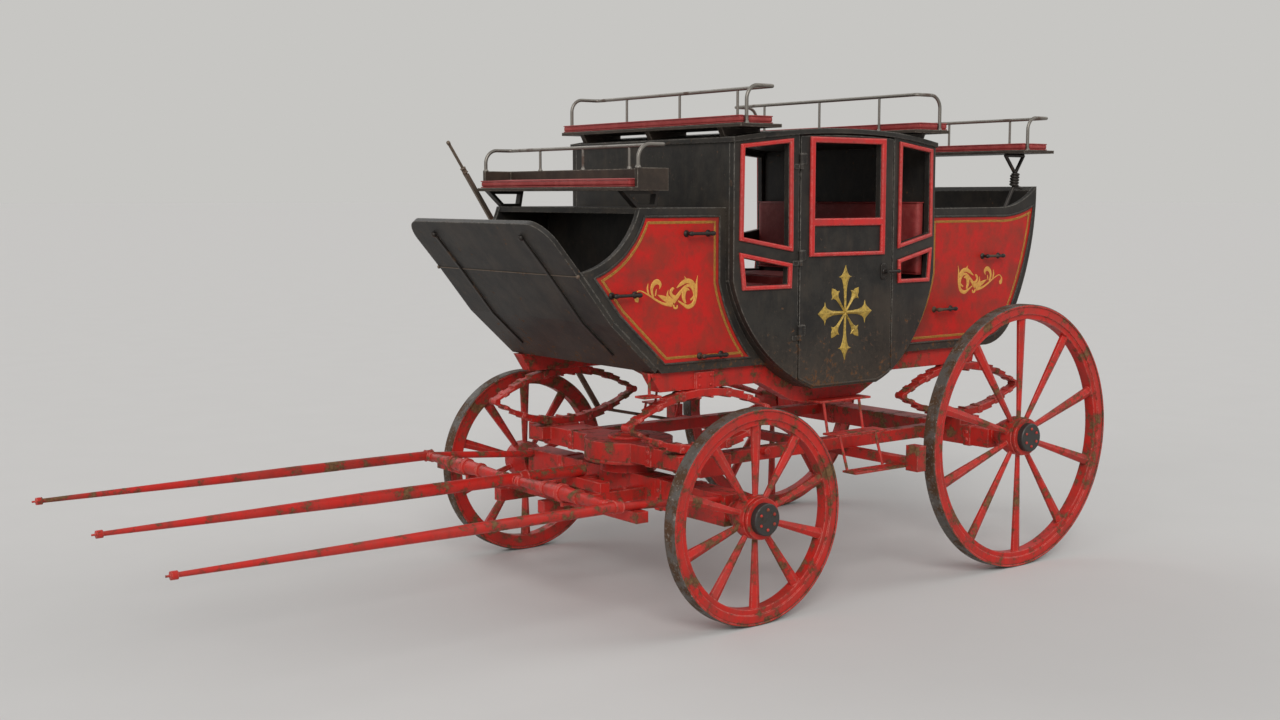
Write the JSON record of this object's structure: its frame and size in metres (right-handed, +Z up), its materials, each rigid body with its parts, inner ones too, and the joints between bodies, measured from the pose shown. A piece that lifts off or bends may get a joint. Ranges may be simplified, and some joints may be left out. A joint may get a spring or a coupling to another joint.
{
  "type": "horse-drawn road coach",
  "caption": "Old horse-drawn road coach with a black cabin, red panelled boots, railed roof seats, spoked red wheels, pole and shafts",
  "frame": {"origin": "on the ground under the middle of the coach's box, pole tips to rear tyres", "axes": "+X forward along the pole, +Y to the coach's left, +Z up"},
  "size_m": [4.7648, 1.912, 2.258],
  "materials": {
    "black_painted_wood": "aged black paint, dusty and rubbed brown at the edges",
    "red_painted_wood": "worn bright red paint, brown where it is rubbed",
    "red_frame_paint": "faded red paint",
    "dark_wood": "oiled dark brown",
    "red_leather": "dull red hide, creased",
    "worn_iron": "grey-brown forged iron, handled smooth",
    "tyre_iron": "rusty grey tread",
    "black_hub_iron": "black, greasy"
  },
  "bodies": {
    "coach": {"body_sills": "red_painted_wood", "boot_panels": "red_painted_wood", "boot_sides": "black_painted_wood", "brake_beam": "red_painted_wood", "brake_lever": "worn_iron", "cabin_end_walls": "black_painted_wood", "cabin_floor": "black_painted_wood", "cabin_roof": "black_painted_wood", "cabin_side_left": "black_painted_wood", "cabin_side_right": "black_painted_wood", "door_hinge_pins": "worn_iron", "driver_cushion": "red_leather", "driver_rail": "worn_iron", "driver_seat": "black_painted_wood", "footboard": "black_painted_wood", "front_boot_boards": "black_painted_wood", "front_roof_cushion": "red_leather", "front_roof_rail": "worn_iron", "front_roof_seat": "black_painted_wood", "grab_handles": "worn_iron", "hind_boot_back": "black_painted_wood", "hind_cushion": "red_leather", "hind_rail": "worn_iron", "hind_seat": "black_painted_wood", "inside_benches": "dark_wood", "inside_cushions": "red_leather", "perch_beams": "red_painted_wood", "quarter_window_frames": "red_frame_paint", "rear_axle": "red_painted_wood", "rear_roof_cushion": "red_leather", "rear_roof_rail": "worn_iron", "rear_roof_seat": "black_painted_wood", "seat_brackets": "worn_iron", "springs": "red_painted_wood", "steps": "red_painted_wood", "transom": "red_painted_wood"},
    "front_left_wheel": {"wheel_front_left": "red_painted_wood", "wheel_front_left_tyre": "tyre_iron", "wheel_front_left_cap": "black_hub_iron"},
    "front_right_wheel": {"wheel_front_right": "red_painted_wood", "wheel_front_right_tyre": "tyre_iron", "wheel_front_right_cap": "black_hub_iron"},
    "rear_left_wheel": {"wheel_rear_left": "red_painted_wood", "wheel_rear_left_tyre": "tyre_iron", "wheel_rear_left_cap": "black_hub_iron"},
    "rear_right_wheel": {"wheel_rear_right": "red_painted_wood", "wheel_rear_right_tyre": "tyre_iron", "wheel_rear_right_cap": "black_hub_iron"},
    "left_door": {"door_left": "black_painted_wood", "door_frame_left": "red_frame_paint", "door_handle_left": "worn_iron"},
    "right_door": {"door_right": "black_painted_wood", "door_frame_right": "red_frame_paint", "door_handle_right": "worn_iron"},
    "forecarriage": {"front_axle": "red_painted_wood", "futchells": "red_painted_wood", "swingletrees": "red_painted_wood", "pole": "red_painted_wood", "shafts": "red_painted_wood"}
  },
  "joints": [
    {"name": "steering", "type": "hinge", "parent": "coach", "child": "forecarriage", "pos_m": [-0.0575, 0, 0.6], "axis": [0, 0, 1], "range_deg": [-11, 11]},
    {"name": "front_left_wheel_spin", "type": "hinge", "parent": "forecarriage", "child": "front_left_wheel", "pos_m": [-0.0575, 0.876, 0.457], "axis": [0, 1, 0], "continuous": true},
    {"name": "front_right_wheel_spin", "type": "hinge", "parent": "forecarriage", "child": "front_right_wheel", "pos_m": [-0.0575, -0.876, 0.457], "axis": [0, 1, 0], "continuous": true},
    {"name": "rear_left_wheel_spin", "type": "hinge", "parent": "coach", "child": "rear_left_wheel", "pos_m": [-1.7475, 0.876, 0.635], "axis": [0, 1, 0], "continuous": true},
    {"name": "rear_right_wheel_spin", "type": "hinge", "parent": "coach", "child": "rear_right_wheel", "pos_m": [-1.7475, -0.876, 0.635], "axis": [0, 1, 0], "continuous": true},
    {"name": "left_door_swing", "type": "hinge", "parent": "coach", "child": "left_door", "pos_m": [-0.5065, 0.6593, 1.48], "axis": [0, 0, -1], "range_deg": [0, 90]},
    {"name": "right_door_swing", "type": "hinge", "parent": "coach", "child": "right_door", "pos_m": [-0.5065, -0.6593, 1.48], "axis": [0, 0, 1], "range_deg": [0, 90]}
  ]
}
